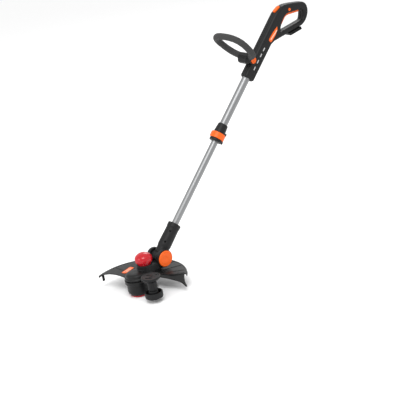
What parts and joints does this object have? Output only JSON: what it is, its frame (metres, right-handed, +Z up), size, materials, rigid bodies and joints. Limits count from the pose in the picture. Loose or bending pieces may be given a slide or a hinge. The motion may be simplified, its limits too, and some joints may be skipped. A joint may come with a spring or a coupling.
{
  "type": "string trimmer",
  "caption": "Cordless string trimmer with a telescoping twist shaft, pivoting motor head, half guard, edging wheels, loop handle and D-shaped rear grip.",
  "frame": {"origin": "centre of the flat underside of the red spool cap, where the head rests on the ground", "axes": "+Z up along the spool spin axis, +X forward away from the operator, +Y to the left of the operator; the shaft leans back 45.5 degrees from +Z toward -X"},
  "size_m": [0.9731, 0.3089, 0.795],
  "materials": {
    "charcoal_plastic": "fine moulded texture, near black",
    "grey_plastic": "plain moulded grey",
    "grip_rubber": "soft matt black",
    "orange_plastic": "satin moulded orange",
    "red_plastic": "glossy moulded red",
    "tube_aluminium": "satin drawn tube",
    "steel": "plain bright steel",
    "brass": "plain brass and copper",
    "circuit_board": "green circuit board",
    "nylon_line": "orange nylon line, wound"
  },
  "bodies": {
    "handle": {"housing_left": "charcoal_plastic", "housing_right": "charcoal_plastic", "side_trim_left": "orange_plastic", "side_trim_right": "orange_plastic", "upper_tube": "tube_aluminium", "clamp_body": "charcoal_plastic", "lever_pin": "steel", "main_switch": "grey_plastic", "control_board": "circuit_board", "heat_sink": "tube_aluminium", "battery_rail": "charcoal_plastic", "terminal_block": "grey_plastic", "contact_positive": "brass", "contact_negative": "brass", "trigger_pin": "steel", "loop_axle": "steel", "housing_screw_low": "steel", "housing_screw_middle": "steel", "housing_screw_rear": "steel"},
    "trigger": {"trigger": "orange_plastic"},
    "lock_off": {"lock_off_button": "orange_plastic"},
    "side_button": {"side_button": "orange_plastic"},
    "loop": {"loop_handle": "grip_rubber"},
    "loop_button": {"loop_button": "orange_plastic"},
    "clamp_lever": {"clamp_lever": "orange_plastic"},
    "telescope": {"guide_plug": "charcoal_plastic"},
    "lower_shaft": {"lower_tube": "tube_aluminium", "yoke_left": "charcoal_plastic", "yoke_right": "charcoal_plastic", "yoke_screw_low": "steel", "yoke_screw_high": "steel"},
    "head": {"head_housing": "charcoal_plastic", "motor_base": "charcoal_plastic", "motor_can": "steel", "pivot_pin": "steel", "guard": "charcoal_plastic", "guard_badge": "orange_plastic", "guard_screw_left": "steel", "guard_screw_right": "steel", "line_blade": "steel", "wheel_bracket": "charcoal_plastic", "wheel_axle": "steel", "axle_cap": "charcoal_plastic", "feed_spring": "steel"},
    "pivot_button": {"pivot_button": "orange_plastic"},
    "feed_button": {"feed_button": "red_plastic"},
    "spool": {"spool_housing": "charcoal_plastic", "spool_cap": "red_plastic", "line_reel": "grey_plastic", "line_winding": "nylon_line", "reel_spring": "steel", "shaft_nut": "steel", "motor_shaft": "steel", "motor_rotor": "brass", "eyelet_front": "steel", "eyelet_rear": "steel"},
    "upper_wheel": {"upper_wheel": "charcoal_plastic"},
    "lower_wheel": {"lower_wheel": "charcoal_plastic"}
  },
  "joints": [
    {"name": "trigger_pull", "type": "hinge", "parent": "handle", "child": "trigger", "pos_m": [-0.78641, 0, 0.74346], "axis": [0, 1, 0], "range_deg": [0, 5], "stiffness_Nm_per_rad": 1.6, "springref_deg": -5.16},
    {"name": "lock_off_press", "type": "slide", "parent": "handle", "child": "lock_off", "axis": [-0.4481, 0, -0.894], "range_m": [0, 0.003], "stiffness_N_per_m": 600, "springref_m": -0.003},
    {"name": "side_button_press", "type": "slide", "parent": "handle", "child": "side_button", "axis": [0, -1, 0], "range_m": [0, 0.002], "stiffness_N_per_m": 500, "springref_m": -0.003},
    {"name": "loop_tilt", "type": "hinge", "parent": "handle", "child": "loop", "pos_m": [-0.62962, 0, 0.64477], "axis": [0, 1, 0], "range_deg": [-40, 30]},
    {"name": "loop_button_press", "type": "slide", "parent": "handle", "child": "loop_button", "axis": [0, -1, 0], "range_m": [0, 0.0022], "stiffness_N_per_m": 700, "springref_m": -0.004},
    {"name": "clamp_lever_swing", "type": "hinge", "parent": "handle", "child": "clamp_lever", "pos_m": [-0.45273, 0.01047, 0.41388], "axis": [-0.7133, 0, 0.7009], "range_deg": [0, 110]},
    {"name": "telescope_slide", "type": "slide", "parent": "handle", "child": "telescope", "axis": [0.7133, 0, -0.7009], "range_m": [-0.2, 0.06]},
    {"name": "shaft_twist", "type": "hinge", "parent": "telescope", "child": "lower_shaft", "pos_m": [-0.31767, 0, 0.30877], "axis": [-0.7133, 0, 0.7009], "range_deg": [0, 90]},
    {"name": "head_pivot", "type": "hinge", "parent": "lower_shaft", "child": "head", "pos_m": [-0.1037, 0, 0.0985], "axis": [0, 1, 0], "range_deg": [-30, 44.5]},
    {"name": "pivot_button_press", "type": "slide", "parent": "head", "child": "pivot_button", "axis": [0, -1, 0], "range_m": [0, 0.004], "stiffness_N_per_m": 900, "springref_m": -0.004},
    {"name": "feed_button_press", "type": "slide", "parent": "head", "child": "feed_button", "axis": [0, 0, -1], "range_m": [0, 0.004], "stiffness_N_per_m": 1200, "springref_m": -0.004, "deforming": ["feed_spring"]},
    {"name": "spool_spin", "type": "hinge", "parent": "head", "child": "spool", "pos_m": [0, 0, 0.03], "axis": [0, 0, 1], "continuous": true},
    {"name": "upper_wheel_spin", "type": "hinge", "parent": "head", "child": "upper_wheel", "pos_m": [0.0067, 0.0963, 0.08], "axis": [0, 0, 1], "continuous": true},
    {"name": "lower_wheel_spin", "type": "hinge", "parent": "head", "child": "lower_wheel", "pos_m": [0.0067, 0.0963, 0.025], "axis": [0, 0, 1], "continuous": true}
  ]
}
